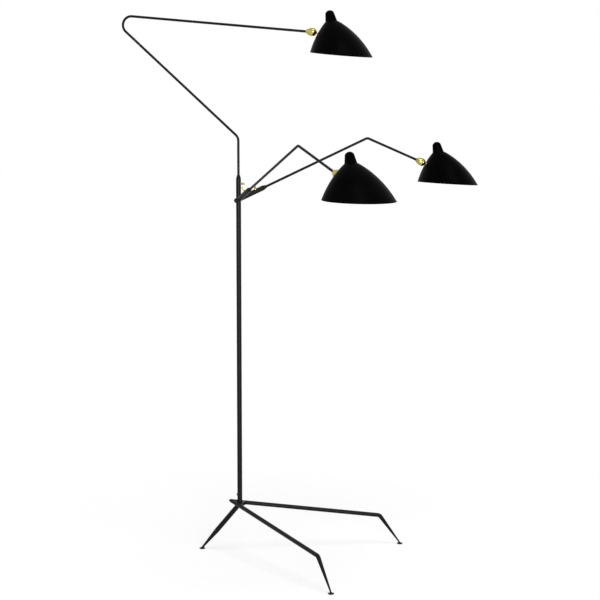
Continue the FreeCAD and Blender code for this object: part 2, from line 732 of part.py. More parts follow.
def origin_shift(nodes):
    """Move that brings the middle of the lamp's box over the origin."""
    points = [p for shape in nodes.values() for p in shape.tessellate(0.5)[0]]
    xs = [p.x for p in points]
    ys = [p.y for p in points]
    return V(-(min(xs) + max(xs)) / 2, -(min(ys) + max(ys)) / 2, 0)


def write(nodes):
    os.makedirs("parts", exist_ok=True)
    shift = origin_shift(nodes)
    for name, shape in nodes.items():
        moved = shape.copy()
        moved.translate(shift)
        moved.exportStep("parts/" + name + ".step")
    return shift


if __name__ == "__main__":
    write(lamp())
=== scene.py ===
# %% [markdown]
# # A floor lamp with three arms
#
# The lamp is a slim black pole on a low three-legged stand. One long arm grows out of
# its top and two shorter arms leave it lower down. Each arm turns in a sleeve, is locked
# by a brass thumbscrew, and carries a black oblique shade on a brass ball swivel.
#
# The solids of the lamp are already made and packed. This lesson dresses them: it lights
# them, gives each of them a finish, and makes the pieces whose beauty is in a fine
# surface or in detail that repeats: the shades and the knurled screws.
#
# The first cell loads the imported lamp. Its pieces are a fixed frame that nothing moves.

# %% Load the imported lamp
import json
import math

import bpy
from mathutils import Matrix, Vector


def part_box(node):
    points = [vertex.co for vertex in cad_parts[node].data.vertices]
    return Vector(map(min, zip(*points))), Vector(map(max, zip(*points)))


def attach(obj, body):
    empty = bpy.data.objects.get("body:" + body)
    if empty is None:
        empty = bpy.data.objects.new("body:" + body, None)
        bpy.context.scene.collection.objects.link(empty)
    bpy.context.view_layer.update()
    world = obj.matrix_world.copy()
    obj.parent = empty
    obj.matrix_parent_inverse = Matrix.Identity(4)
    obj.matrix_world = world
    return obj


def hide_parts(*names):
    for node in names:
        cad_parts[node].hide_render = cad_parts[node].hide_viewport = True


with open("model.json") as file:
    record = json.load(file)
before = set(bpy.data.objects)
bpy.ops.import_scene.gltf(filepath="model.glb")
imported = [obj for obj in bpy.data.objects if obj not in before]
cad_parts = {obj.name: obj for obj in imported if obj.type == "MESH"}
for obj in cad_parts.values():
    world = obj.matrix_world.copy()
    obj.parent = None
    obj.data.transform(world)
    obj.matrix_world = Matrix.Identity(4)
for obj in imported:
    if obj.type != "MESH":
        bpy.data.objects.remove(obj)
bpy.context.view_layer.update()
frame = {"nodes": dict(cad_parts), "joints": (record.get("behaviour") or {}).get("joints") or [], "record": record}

MM = 0.001
ARMS = ("upper", "front", "side")
nodes = frame["nodes"]

# %% [markdown]
# ## The camera
#
# The photograph was taken from about six metres away, from a foot above the knuckle where
# the arms meet, with the camera tipped down until the lamp filled the frame.
# A camera could be placed by eye, but straight edges give it away at once, so its place
# was worked out from the pole, the legs and the level feet. It is given from the pole.

# %% Camera at the photograph's angle
FOCAL_PIXELS = 1620.0
FRAME_PIXELS = 600.0
SENSOR_MM = 36.0
CAMERA_RIGHT_OF_POLE = 0.2331
CAMERA_BEFORE_POLE = 6.149
CAMERA_HEIGHT = 1.698
CAMERA_DROP_DEGREES = 6.564

low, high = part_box("pole")
pole_x = (low.x + high.x) / 2
pole_y = (low.y + high.y) / 2

camera_data = bpy.data.cameras.new("camera")
camera_data.sensor_width = SENSOR_MM
camera_data.lens = FOCAL_PIXELS / FRAME_PIXELS * SENSOR_MM
camera = bpy.data.objects.new("camera", camera_data)
camera.location = (
    pole_x + CAMERA_RIGHT_OF_POLE, pole_y - CAMERA_BEFORE_POLE, CAMERA_HEIGHT)
camera.rotation_euler = (math.radians(90.0 - CAMERA_DROP_DEGREES), 0.0, 0.0)
bpy.context.scene.collection.objects.link(camera)
bpy.context.scene.camera = camera
print("camera lens", round(camera_data.lens, 1), "mm")

# %% [markdown]
# ## White where it is looked at
#
# The lamp stands in front of plain white. More light would whiten the surround, but it
# would wash out the black enamel too. So the surround is white only to a ray that comes
# straight from the camera, from a reflection or through glass, and dimmer to the rays
# that carry light to the lamp. One small helper finds those rays, for the world and floor.


# %% Which rays look at the surround
def looked_at(tree):
    """Socket that is 1 for rays from the camera, a reflection or glass, and 0 for others."""
    path = tree.nodes.new("ShaderNodeLightPath")
    found = path.outputs["Is Camera Ray"]
    for kind in ("Is Glossy Ray", "Is Transmission Ray"):
        either = tree.nodes.new("ShaderNodeMath")
        either.operation = "MAXIMUM"
        tree.links.new(found, either.inputs[0])
        tree.links.new(path.outputs[kind], either.inputs[1])
        found = either.outputs[0]
    return found


print("helper ready:", looked_at.__name__)

# %% White world
WORLD_FILL = 0.12

world = bpy.data.worlds.new("studio")
bpy.context.scene.world = world
world.use_nodes = True
sky = world.node_tree
sky.nodes.clear()
shades_of_white = []
for strength in (WORLD_FILL, 1.0):
    glow = sky.nodes.new("ShaderNodeBackground")
    glow.inputs["Color"].default_value = (1.0, 1.0, 1.0, 1.0)
    glow.inputs["Strength"].default_value = strength
    shades_of_white.append(glow.outputs[0])
chosen = sky.nodes.new("ShaderNodeMixShader")
sky_out = sky.nodes.new("ShaderNodeOutputWorld")
sky.links.new(looked_at(sky), chosen.inputs["Fac"])
sky.links.new(shades_of_white[0], chosen.inputs[1])
sky.links.new(shades_of_white[1], chosen.inputs[2])
sky.links.new(chosen.outputs[0], sky_out.inputs["Surface"])
bpy.context.scene.view_settings.view_transform = "Standard"
print("world sheds", WORLD_FILL, "of its white on the lamp")

# %% [markdown]
# ## Light
#
# In the photograph every tube has a grey stripe down its middle and black edges, and the
# shades are almost black. That is what one large soft light beside the camera does to
# black enamel, with little light from the sides. A weaker light on the left and one above
# lift the shapes a little, and the one above also puts a soft shadow under the stand.
#
# Panels near the lamp would brighten the near floor more than the far one, and would hide
# the shadow or draw a line at the horizon. So each light is a broad far-off one: it is
# equally strong everywhere, and how wide it looks from the lamp makes it soft.


# %% Broad lights
def broad_light(name, comes_from, strength, width_degrees):
    """Far-off soft light, and what it adds to a white floor."""
    data = bpy.data.lights.new(name, "SUN")
    data.energy = strength
    data.angle = math.radians(width_degrees)
    lamp = bpy.data.objects.new(name, data)
    towards = Vector(comes_from).normalized()
    lamp.rotation_euler = (-towards).to_track_quat("-Z", "Y").to_euler()
    bpy.context.scene.collection.objects.link(lamp)
    return strength * towards.z / math.pi


on_floor = broad_light(
    "front_light", comes_from=(0.9, -6.0, 0.53), strength=3.0, width_degrees=20.0)
on_floor += broad_light(
    "left_light", comes_from=(-4.4, -2.6, 1.6), strength=0.12, width_degrees=25.0)
on_floor += broad_light(
    "high_light", comes_from=(1.2, -2.0, 4.4), strength=0.8, width_degrees=30.0)
print("the lights add", round(on_floor, 3), "to a white floor")

# %% [markdown]
# ## The floor
#
# The lamp stands on a plain pale floor that meets the white surround without a line.
# The floor is a real surface, so that the feet rest on something and leave a soft shadow.
# The world and the lights reach it evenly, which leaves it somewhat under white. It gives
# off just the missing part to whoever looks at it, and so the shadow stays in place. It
# lies a hair below the pads, because two faces in one plane would flicker.

# %% Floor
FLOOR_HALF = 40.0
FLOOR_LEVEL = -0.0005
FLOOR_TONE = 0.8

lit_floor = FLOOR_TONE * (WORLD_FILL + on_floor)
corners = [(-1, -1), (1, -1), (1, 1), (-1, 1)]
floor_corners = [(x * FLOOR_HALF, y * FLOOR_HALF, FLOOR_LEVEL) for x, y in corners]
floor_mesh = bpy.data.meshes.new("floor")
floor_mesh.from_pydata(floor_corners, [], [(0, 1, 2, 3)])
floor = bpy.data.objects.new("floor", floor_mesh)
bpy.context.scene.collection.objects.link(floor)
print("floor", FLOOR_HALF * 2, "m across, lit to", round(lit_floor, 3))

# %% Floor paint
floor_paint = bpy.data.materials.new("pale_floor")
floor_paint.use_nodes = True
paint = floor_paint.node_tree
paint.nodes.clear()
matte = paint.nodes.new("ShaderNodeBsdfDiffuse")
matte.inputs["Color"].default_value = (FLOOR_TONE, FLOOR_TONE, FLOOR_TONE, 1.0)
lift = paint.nodes.new("ShaderNodeEmission")
lift.inputs["Color"].default_value = (1.0, 1.0, 1.0, 1.0)
lift_amount = paint.nodes.new("ShaderNodeMath")
lift_amount.operation = "MULTIPLY"
lift_amount.inputs[1].default_value = 1.0 - lit_floor
together = paint.nodes.new("ShaderNodeAddShader")
floor_out = paint.nodes.new("ShaderNodeOutputMaterial")
paint.links.new(looked_at(paint), lift_amount.inputs[0])
paint.links.new(lift_amount.outputs[0], lift.inputs["Strength"])
paint.links.new(matte.outputs[0], together.inputs[0])
paint.links.new(lift.outputs[0], together.inputs[1])
paint.links.new(together.outputs[0], floor_out.inputs["Surface"])
floor_mesh.materials.append(floor_paint)
print("floor paint adds", round(1.0 - lit_floor, 3))

# %% [markdown]
# ## Finishes
#
# Every finish below is built the same way: a noise pattern that is fixed to the piece
# shifts the colour and the gloss a little, and a fine second one roughens the surface.
# What differs is the size of the patterns and how strong they are. Enamel has a fine
# orange peel, turned metal has soft stains, glass has almost nothing.
#
# A finish could also be a single flat colour, but then every piece looks like plastic:
# no real surface has the same gloss all over.


# %% Colour and gloss that vary
STAIN_DETAIL = 4.0
DARK_BELOW = 0.3
LIGHT_ABOVE = 0.7


def stained(tree, shader, place, dark, light, gloss, scale):
    """Soft noise that moves the colour between two tones and the gloss with it."""
    stains = tree.nodes.new("ShaderNodeTexNoise")
    stains.inputs["Scale"].default_value = scale
    stains.inputs["Detail"].default_value = STAIN_DETAIL
    tree.links.new(place, stains.inputs["Vector"])
    colours = tree.nodes.new("ShaderNodeValToRGB")
    colours.color_ramp.elements[0].position = DARK_BELOW
    colours.color_ramp.elements[0].color = (*dark, 1.0)
    colours.color_ramp.elements[1].position = LIGHT_ABOVE
    colours.color_ramp.elements[1].color = (*light, 1.0)
    tree.links.new(stains.outputs["Fac"], colours.inputs["Fac"])
    tree.links.new(colours.outputs["Color"], shader.inputs["Base Color"])
    shine = tree.nodes.new("ShaderNodeMapRange")
    shine.inputs["To Min"].default_value = gloss[0]
    shine.inputs["To Max"].default_value = gloss[1]
    tree.links.new(stains.outputs["Fac"], shine.inputs["Value"])
    tree.links.new(shine.outputs["Result"], shader.inputs["Roughness"])


print("helper ready:", stained.__name__)


# %% Fine unevenness of a surface
PEEL_DETAIL = 2.0
PEEL_STRENGTH = 0.6


def peeled(tree, shader, place, scale, depth):
    """Fine noise that roughens the surface, as the peel of an orange does."""
    peel = tree.nodes.new("ShaderNodeTexNoise")
    peel.inputs["Scale"].default_value = scale
    peel.inputs["Detail"].default_value = PEEL_DETAIL
    tree.links.new(place, peel.inputs["Vector"])
    bump = tree.nodes.new("ShaderNodeBump")
    bump.inputs["Strength"].default_value = PEEL_STRENGTH
    bump.inputs["Distance"].default_value = depth
    tree.links.new(peel.outputs["Fac"], bump.inputs["Height"])
    tree.links.new(bump.outputs["Normal"], shader.inputs["Normal"])


def finish(name, dark, light, gloss, stain_scale, peel_scale, peel_depth, fixed=None):
    """Finish with both patterns, and any fixed values for the shader's own sockets."""
    material = bpy.data.materials.new(name)
    material.use_nodes = True
    tree = material.node_tree
    shader = tree.nodes["Principled BSDF"]
    place = tree.nodes.new("ShaderNodeTexCoord").outputs["Object"]
    stained(tree, shader, place, dark, light, gloss, stain_scale)
    peeled(tree, shader, place, peel_scale, peel_depth)
    for socket, value in (fixed or {}).items():
        shader.inputs[socket].default_value = value
    print("finish", name)
    return material


# %% [markdown]
# ### Black enamel
#
# The tubes are sprayed with a satin black enamel and baked. In the photograph each tube
# has a grey stripe along its middle and black edges. A grey colour would grey the edges
# too, so the coat itself is almost black and the stripe is a soft reflection of the front
# light. The shades have a deeper coat with less mirror in it, inside as well as outside:
# what shows under the highest rim is as black as the rest.

# %% Enamels
tube_enamel = finish(
    "tube_enamel", (0.0030, 0.0030, 0.0032), (0.0045, 0.0045, 0.0048), (0.32, 0.40),
    stain_scale=24.0, peel_scale=1400.0, peel_depth=0.00004,
    fixed={"Specular IOR Level": 0.12})
shade_enamel = finish(
    "shade_enamel", (0.0008, 0.0008, 0.0009), (0.0014, 0.0014, 0.0015), (0.28, 0.36),
    stain_scale=18.0, peel_scale=1100.0, peel_depth=0.00004,
    fixed={"Specular IOR Level": 0.008})

# %% [markdown]
# ### Brass, steel, glass, plastic and rubber
#
# The swivel cups, the balls in them and the thumbscrews are polished brass, a lemon yellow
# one. It is a metal, so its colour is in its reflections. Nuts, washers and lamp caps are
# turned steel. The lamps are opal glass. The lamp holders and the rings that carry them are
# moulded plastic, black and white, and the feet stand on rubber.

# %% Metals
brass = finish(
    "brass", (0.32, 0.265, 0.055), (0.56, 0.48, 0.125), (0.14, 0.24),
    stain_scale=70.0, peel_scale=2500.0, peel_depth=0.00001,
    fixed={"Metallic": 1.0})
bright_steel = finish(
    "bright_steel", (0.50, 0.50, 0.49), (0.64, 0.64, 0.62), (0.22, 0.36),
    stain_scale=90.0, peel_scale=3000.0, peel_depth=0.00001,
    fixed={"Metallic": 1.0})

# %% Plastic, glass and rubber
holder_plastic = finish(
    "holder_plastic", (0.020, 0.020, 0.021), (0.032, 0.032, 0.033), (0.45, 0.55),
    stain_scale=60.0, peel_scale=1800.0, peel_depth=0.00003)
ring_plastic = finish(
    "ring_plastic", (0.66, 0.65, 0.61), (0.76, 0.75, 0.71), (0.42, 0.52),
    stain_scale=60.0, peel_scale=1800.0, peel_depth=0.00003)
lamp_glass = finish(
    "lamp_glass", (0.80, 0.80, 0.77), (0.86, 0.86, 0.84), (0.08, 0.14),
    stain_scale=20.0, peel_scale=300.0, peel_depth=0.00001)
rubber = finish(
    "rubber", (0.016, 0.016, 0.016), (0.030, 0.030, 0.029), (0.75, 0.88),
    stain_scale=120.0, peel_scale=2600.0, peel_depth=0.00006)

# %% [markdown]
# ### Which piece has which finish
#
# The record of the lamp names a material slot for each piece. Each slot gets one of the
# finishes above, and the finish goes on every solid of that slot. The balls and their
# studs are dressed in brass on top of that, because they show yellow beside their cups.

# %% Dress the solids
FINISH_OF_SLOT = {
    "black_enamel": tube_enamel,
    "shade_enamel": shade_enamel,
    "brass": brass,
    "bright_steel": bright_steel,
    "holder_plastic": holder_plastic,
    "ring_plastic": ring_plastic,
    "lamp_glass": lamp_glass,
    "rubber": rubber,
}
for piece in frame["record"]["subparts"]:
    solid = nodes[piece["node"]]
    solid.data.materials.clear()
    solid.data.materials.append(FINISH_OF_SLOT[piece["material_slot"]])
for arm in ARMS:
    nodes[arm + "_ball_stud"].data.materials[0] = brass

# %% [markdown]
# ## Tools for Geometry Nodes
#
# The shades and the screws are grown from a few numbers by Geometry Nodes. Each tree is
# built here in code, and small helpers keep that readable: one adds a node, one sets an
# input or wires it, whichever it is given, and one does a sum.


# %% Node helpers
def add(tree, kind, **settings):
    """New node of this kind with these settings."""
    made = tree.nodes.new(kind)
    for name, value in settings.items():
        setattr(made, name, value)
    return made


def feed(tree, socket, source):
    """Wires a socket to another one, or sets it to a value."""
    if isinstance(source, bpy.types.NodeSocket):
        tree.links.new(source, socket)
    else:
        socket.default_value = source


def sum_of(tree, operation, first, second=0.0):
    """Result of one sum of two sockets or values. Some operations use the first only."""
    made = add(tree, "ShaderNodeMath", operation=operation)
    feed(tree, made.inputs[0], first)
    feed(tree, made.inputs[1], second)
    return made.outputs[0]


print("helpers ready:", add.__name__, feed.__name__, sum_of.__name__)


# %% Start and end of a tree
def new_tree(name, inputs):
    """Geometry Nodes tree with named inputs, and its group input and output nodes."""
    tree = bpy.data.node_groups.new(name, "GeometryNodeTree")
    for label, kind in inputs:
        tree.interface.new_socket(label, in_out="INPUT", socket_type="NodeSocket" + kind)
    tree.interface.new_socket("Geometry", in_out="OUTPUT", socket_type="NodeSocketGeometry")
    return tree, tree.nodes.new("NodeGroupInput"), tree.nodes.new("NodeGroupOutput")


def ending(tree, geometry, material, result):
    """Every tree ends by making its copies real and painting them."""
    real = add(tree, "GeometryNodeRealizeInstances")
    coat = add(tree, "GeometryNodeSetMaterial")
    tree.links.new(geometry, real.inputs[0])
    tree.links.new(real.outputs[0], coat.inputs["Geometry"])
    tree.links.new(material, coat.inputs["Material"])
    tree.links.new(coat.outputs[0], result.inputs[0])


print("helpers ready:", new_tree.__name__, ending.__name__)


# %% Growing a mesh and settling it on the lamp
def grown_mesh(name, tree, values):
    """Runs a tree once with these input values and returns its result as a plain mesh."""
    seed = bpy.data.objects.new(name, bpy.data.meshes.new(name + "_seed"))
    bpy.context.scene.collection.objects.link(seed)
    modifier = seed.modifiers.new("grow", "NODES")
    modifier.node_group = tree
    for item in tree.interface.items_tree:
        if item.item_type == "SOCKET" and item.in_out == "INPUT":
            modifier[item.identifier] = values[item.name]
    seed.update_tag()
    graph = bpy.context.evaluated_depsgraph_get()
    mesh = bpy.data.meshes.new_from_object(seed.evaluated_get(graph), depsgraph=graph)
    seed.modifiers.remove(modifier)
    bpy.data.objects.remove(seed)
    print(name, "grown with", len(mesh.polygons), "faces")
    return mesh


def settle(name, mesh, place, body, replaced):
    """Copies a mesh to its place on a body, where it stands for a solid of the lamp."""
    copy = mesh.copy()
    copy.name = name
    copy.transform(place)
    copy.update()
    piece = bpy.data.objects.new(name, copy)
    bpy.context.scene.collection.objects.link(piece)
    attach(piece, body)
    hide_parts(replaced)
    print(name, "rides on", body)


# %% [markdown]
# A smooth surface still needs its corners. Faces that meet at a small angle are shaded as
# one, and edges sharper than that stay crisp, such as the crease round the horn's foot.

# %% Smooth faces and crisp edges
CRISP_ANGLE = math.radians(32.0)


def rounded_look(tree, geometry):
    """Shades every face as smooth, but keeps edges sharper than CRISP_ANGLE crisp."""
    bend = add(tree, "GeometryNodeInputMeshEdgeAngle")
    crisp = add(tree, "FunctionNodeCompare", data_type="FLOAT", operation="GREATER_THAN")
    tree.links.new(bend.outputs["Unsigned Angle"], crisp.inputs[0])
    crisp.inputs[1].default_value = CRISP_ANGLE
    faces = add(tree, "GeometryNodeSetShadeSmooth", domain="FACE")
    tree.links.new(geometry, faces.inputs["Geometry"])
    edges = add(tree, "GeometryNodeSetShadeSmooth", domain="EDGE")
    tree.links.new(faces.outputs[0], edges.inputs["Geometry"])
    tree.links.new(crisp.outputs[0], edges.inputs["Selection"])
    edges.inputs["Shade Smooth"].default_value = False
    return edges.outputs[0]


print("edges stay crisp above", round(math.degrees(CRISP_ANGLE)), "degrees")

# %% [markdown]
# ## The shade
#
# On the real lamp the shade is aluminium, spun and then pressed: an oblique dome whose top
# leans back towards the arm, with a leaning horn on it that hides the lamp holder. It is
# the main form of the lamp, and it follows a rule. Every level cut through the dome is an
# ellipse, and the ellipses shrink and slide back as they rise.
#
# It could be modelled by pulling points about, or by a lattice. Here four rings steer it,
# as four handles steer a curve: the first is the rim, the last is the crown, and the two
# between pull the skin towards themselves without touching it. Blending them pair by pair,
# three times over, gives the ellipse at any height. That keeps the whole form in a dozen
# numbers and makes it smooth everywhere.


# %% Blending the rings
# The Mix node has sockets for every kind of value: where its first input and its output are.
MIX_SOCKETS = {"FLOAT": (2, 0), "VECTOR": (4, 1)}


def blend_of(tree, kind, first, second, factor):
    """Value on the way from the first to the second, as far along as the factor says."""
    mix = add(tree, "ShaderNodeMix", data_type=kind, clamp_factor=False)
    first_input, output = MIX_SOCKETS[kind]
    feed(tree, mix.inputs[0], factor)
    feed(tree, mix.inputs[first_input], first)
    feed(tree, mix.inputs[first_input + 1], second)
    return mix.outputs[output]


def steered(tree, kind, handles, factor):
    """Blends neighbours again and again until one value is left."""
    while len(handles) > 1:
        handles = [blend_of(tree, kind, a, b, factor) for a, b in zip(handles, handles[1:])]
    return handles[0]


print("helpers ready:", blend_of.__name__, steered.__name__)

# %% [markdown]
# Both skins of the shade start as the same closed tube of radius 1 and height 1, cut into
# level rows. Its own place tells each point how far up and how far round it is, and a
# Set Position node then moves it to where the rule says.


# %% A closed tube to shape
def plain_tube(tree, around, along):
    """Tube of radius 1 and height 1, its points' places, and their height from its foot."""
    tube = add(tree, "GeometryNodeMeshCylinder", fill_type="NGON")
    feed(tree, tube.inputs["Vertices"], around)
    feed(tree, tube.inputs["Side Segments"], along)
    feed(tree, tube.inputs["Radius"], 1.0)
    feed(tree, tube.inputs["Depth"], 1.0)
    spot = add(tree, "ShaderNodeSeparateXYZ")
    tree.links.new(add(tree, "GeometryNodeInputPosition").outputs[0], spot.inputs[0])
    rise = sum_of(tree, "ADD", spot.outputs["Z"], 0.5)
    return tube.outputs["Mesh"], spot, rise


def moved_to(tree, geometry, x, y, z):
    """Sets the place of every point of the geometry."""
    where = add(tree, "ShaderNodeCombineXYZ")
    for axis, value in zip("XYZ", (x, y, z)):
        feed(tree, where.inputs[axis], value)
    shaped = add(tree, "GeometryNodeSetPosition")
    tree.links.new(geometry, shaped.inputs["Geometry"])
    tree.links.new(where.outputs[0], shaped.inputs["Position"])
    return shaped.outputs[0]


print("helpers ready:", plain_tube.__name__, moved_to.__name__)

# %% Dome skin
RINGS = ("Rim", "Lower", "Upper", "Crown")
DOME_INPUTS = [(ring + " ring", "Vector") for ring in RINGS]
DOME_INPUTS += [(ring + " height", "Float") for ring in RINGS]
DOME_INPUTS += [("Around", "Int"), ("Along", "Int")]
LOWEST_ROW = 0.001


def dome_tree():
    """One skin of the dome. An inset makes it smaller, and a skirt lowers its rim row."""
    inputs = DOME_INPUTS + [("Inset", "Float"), ("Skirt", "Float")]
    tree, given, result = new_tree("dome_skin", inputs)
    tube, spot, rise = plain_tube(tree, given.outputs["Around"], given.outputs["Along"])
    ring = add(tree, "ShaderNodeSeparateXYZ")
    rings = [given.outputs[name + " ring"] for name in RINGS]
    tree.links.new(steered(tree, "VECTOR", rings, rise), ring.inputs[0])
    height = steered(tree, "FLOAT", [given.outputs[name + " height"] for name in RINGS], rise)
    half_length = sum_of(tree, "SUBTRACT", ring.outputs["Y"], given.outputs["Inset"])
    half_width = sum_of(tree, "SUBTRACT", ring.outputs["Z"], given.outputs["Inset"])
    across = sum_of(tree, "MULTIPLY", spot.outputs["X"], half_length)
    at_rim = sum_of(tree, "LESS_THAN", rise, LOWEST_ROW)
    skirt = sum_of(tree, "MULTIPLY", at_rim, given.outputs["Skirt"])
    x = sum_of(tree, "ADD", ring.outputs["X"], across)
    y = sum_of(tree, "MULTIPLY", spot.outputs["Y"], half_width)
    z = sum_of(tree, "SUBTRACT", height, skirt)
    tree.links.new(moved_to(tree, tube, x, y, z), result.inputs[0])
    return tree


dome = dome_tree()
print("dome tree has", len(dome.nodes), "nodes")

# %% [markdown]
# The horn is simpler. It is round, its radius falls from its foot to its shoulder, and a
# quarter of an ellipse closes it over the top. Then it leans. More rows are spent near
# the top, where the skin turns fastest.


# %% Radius of the horn at a height
TAPER = 0.9


def horn_radius(tree, given, height, length):
    """Radius that tapers up to the shoulder and closes as a quarter of an ellipse above it."""
    shoulder = given.outputs["Shoulder Height"]
    share = sum_of(tree, "POWER", sum_of(tree, "DIVIDE", height, shoulder), TAPER)
    foot_radius = given.outputs["Foot Radius"]
    radius = blend_of(tree, "FLOAT", foot_radius, given.outputs["Shoulder Radius"], share)
    radius = sum_of(tree, "SUBTRACT", radius, given.outputs["Inset"])
    over = sum_of(tree, "MAXIMUM", sum_of(tree, "SUBTRACT", height, shoulder), 0.0)
    cap = sum_of(tree, "SUBTRACT", length, shoulder)
    over = sum_of(tree, "MINIMUM", sum_of(tree, "DIVIDE", over, cap), 1.0)
    falling = sum_of(tree, "SUBTRACT", 1.0, sum_of(tree, "MULTIPLY", over, over))
    return sum_of(tree, "MULTIPLY", radius, sum_of(tree, "SQRT", falling))


print("helper ready:", horn_radius.__name__)

# %% Horn skin
HORN_INPUTS = [("Foot Radius", "Float"), ("Shoulder Radius", "Float"),
               ("Shoulder Height", "Float"), ("Length", "Float"),
               ("Place", "Vector"), ("Lean", "Vector"), ("Around", "Int")]
TIP_MERGE = 0.00001


def horn_tree():
    """One skin of the horn, stood on the dome. An inset makes it smaller."""
    inputs = HORN_INPUTS + [("Along", "Int"), ("Inset", "Float")]
    tree, given, result = new_tree("horn_skin", inputs)
    tube, spot, rise = plain_tube(tree, given.outputs["Around"], given.outputs["Along"])
    bent = sum_of(tree, "SINE", sum_of(tree, "MULTIPLY", rise, math.pi / 2))
    length = sum_of(tree, "SUBTRACT", given.outputs["Length"], given.outputs["Inset"])
    height = sum_of(tree, "MULTIPLY", bent, length)
    radius = horn_radius(tree, given, height, length)
    x = sum_of(tree, "MULTIPLY", spot.outputs["X"], radius)
    y = sum_of(tree, "MULTIPLY", spot.outputs["Y"], radius)
    closed = add(tree, "GeometryNodeMergeByDistance")
    feed(tree, closed.inputs["Distance"], TIP_MERGE)
    tree.links.new(moved_to(tree, tube, x, y, height), closed.inputs["Geometry"])
    leaning = add(tree, "GeometryNodeTransform")
    tree.links.new(closed.outputs[0], leaning.inputs["Geometry"])
    tree.links.new(given.outputs["Lean"], leaning.inputs["Rotation"])
    tree.links.new(given.outputs["Place"], leaning.inputs["Translation"])
    tree.links.new(leaning.outputs[0], result.inputs[0])
    return tree


horn = horn_tree()
print("horn tree has", len(horn.nodes), "nodes")

# %% [markdown]
# The shell is then put together as a spinner would think of it: the outside of the dome
# and the horn as one lump, less the inside of both, less the hole for the swivel's stud.
# A Solidify modifier could give it a wall too, but it would fold over where the horn meets
# the dome, and two clean skins don't.


# %% Lumps and hollows
def run_group(tree, group, given, inputs, **extra):
    """Runs a smaller tree with inputs of the same names, and some of its own."""
    made = add(tree, "GeometryNodeGroup", node_tree=group)
    for name, _ in inputs:
        tree.links.new(given.outputs[name], made.inputs[name])
    for name, value in extra.items():
        feed(tree, made.inputs[name], value)
    return made.outputs[0]


def one_solid(tree, *solids):
    """Union of closed lumps."""
    made = add(tree, "GeometryNodeMeshBoolean", operation="UNION", solver="EXACT")
    for solid in solids:
        tree.links.new(solid, made.inputs["Mesh 2"])
    return made.outputs["Mesh"]


def cut_from(tree, solid, *tools):
    """The solid less the tools."""
    made = add(tree, "GeometryNodeMeshBoolean", operation="DIFFERENCE", solver="EXACT")
    tree.links.new(solid, made.inputs["Mesh 1"])
    for tool in tools:
        tree.links.new(tool, made.inputs["Mesh 2"])
    return made.outputs["Mesh"]


print("helpers ready:", run_group.__name__, one_solid.__name__, cut_from.__name__)

# %% [markdown]
# A thin bead runs round the inside of the rim, where the real sheet is turned in so that
# it doesn't cut. It follows a path, so it is a small circle swept along the rim's ellipse.


# %% Bead along the rim
BEAD_SIDES = 12
BEAD_INSET = 1.05


def rim_bead(tree, given):
    """Bead just inside the rim, so that it doesn't make the shade any larger."""
    bead = given.outputs["Bead Radius"]
    circle = add(tree, "GeometryNodeCurvePrimitiveCircle")
    feed(tree, circle.inputs["Resolution"], given.outputs["Around"])
    feed(tree, circle.inputs["Radius"], 1.0)
    size = add(tree, "ShaderNodeSeparateXYZ")
    tree.links.new(given.outputs["Rim ring"], size.inputs[0])
    inset = sum_of(tree, "MULTIPLY", bead, BEAD_INSET)
    stretch = add(tree, "ShaderNodeCombineXYZ")
    tree.links.new(sum_of(tree, "SUBTRACT", size.outputs["Y"], inset), stretch.inputs["X"])
    tree.links.new(sum_of(tree, "SUBTRACT", size.outputs["Z"], inset), stretch.inputs["Y"])
    lifted = add(tree, "ShaderNodeCombineXYZ")
    tree.links.new(bead, lifted.inputs["Z"])
    oval = add(tree, "GeometryNodeTransform")
    tree.links.new(circle.outputs["Curve"], oval.inputs["Geometry"])
    tree.links.new(stretch.outputs[0], oval.inputs["Scale"])
    tree.links.new(lifted.outputs[0], oval.inputs["Translation"])
    section = add(tree, "GeometryNodeCurvePrimitiveCircle")
    feed(tree, section.inputs["Resolution"], BEAD_SIDES)
    feed(tree, section.inputs["Radius"], bead)
    sweep = add(tree, "GeometryNodeCurveToMesh")
    tree.links.new(oval.outputs[0], sweep.inputs["Curve"])
    tree.links.new(section.outputs["Curve"], sweep.inputs["Profile Curve"])
    return sweep.outputs[0]


print("helper ready:", rim_bead.__name__)


# %% Hole for the stud
HOLE_SIDES = 32
DRILL_LENGTH = 0.03


def stud_hole(tree, given):
    """Drill that stands where the stud goes through the wall."""
    drill = add(tree, "GeometryNodeMeshCylinder")
    feed(tree, drill.inputs["Vertices"], HOLE_SIDES)
    feed(tree, drill.inputs["Radius"], given.outputs["Stud Hole Radius"])
    feed(tree, drill.inputs["Depth"], DRILL_LENGTH)
    aimed = add(tree, "GeometryNodeTransform")
    tree.links.new(drill.outputs["Mesh"], aimed.inputs["Geometry"])
    tree.links.new(given.outputs["Stud Hole Place"], aimed.inputs["Translation"])
    tree.links.new(given.outputs["Stud Hole Turn"], aimed.inputs["Rotation"])
    return aimed.outputs[0]


print("helper ready:", stud_hole.__name__)


# %% Shade shell
HORN_ROWS = 40
LEVEL_WALL = 1.25
SKIRT = 0.002


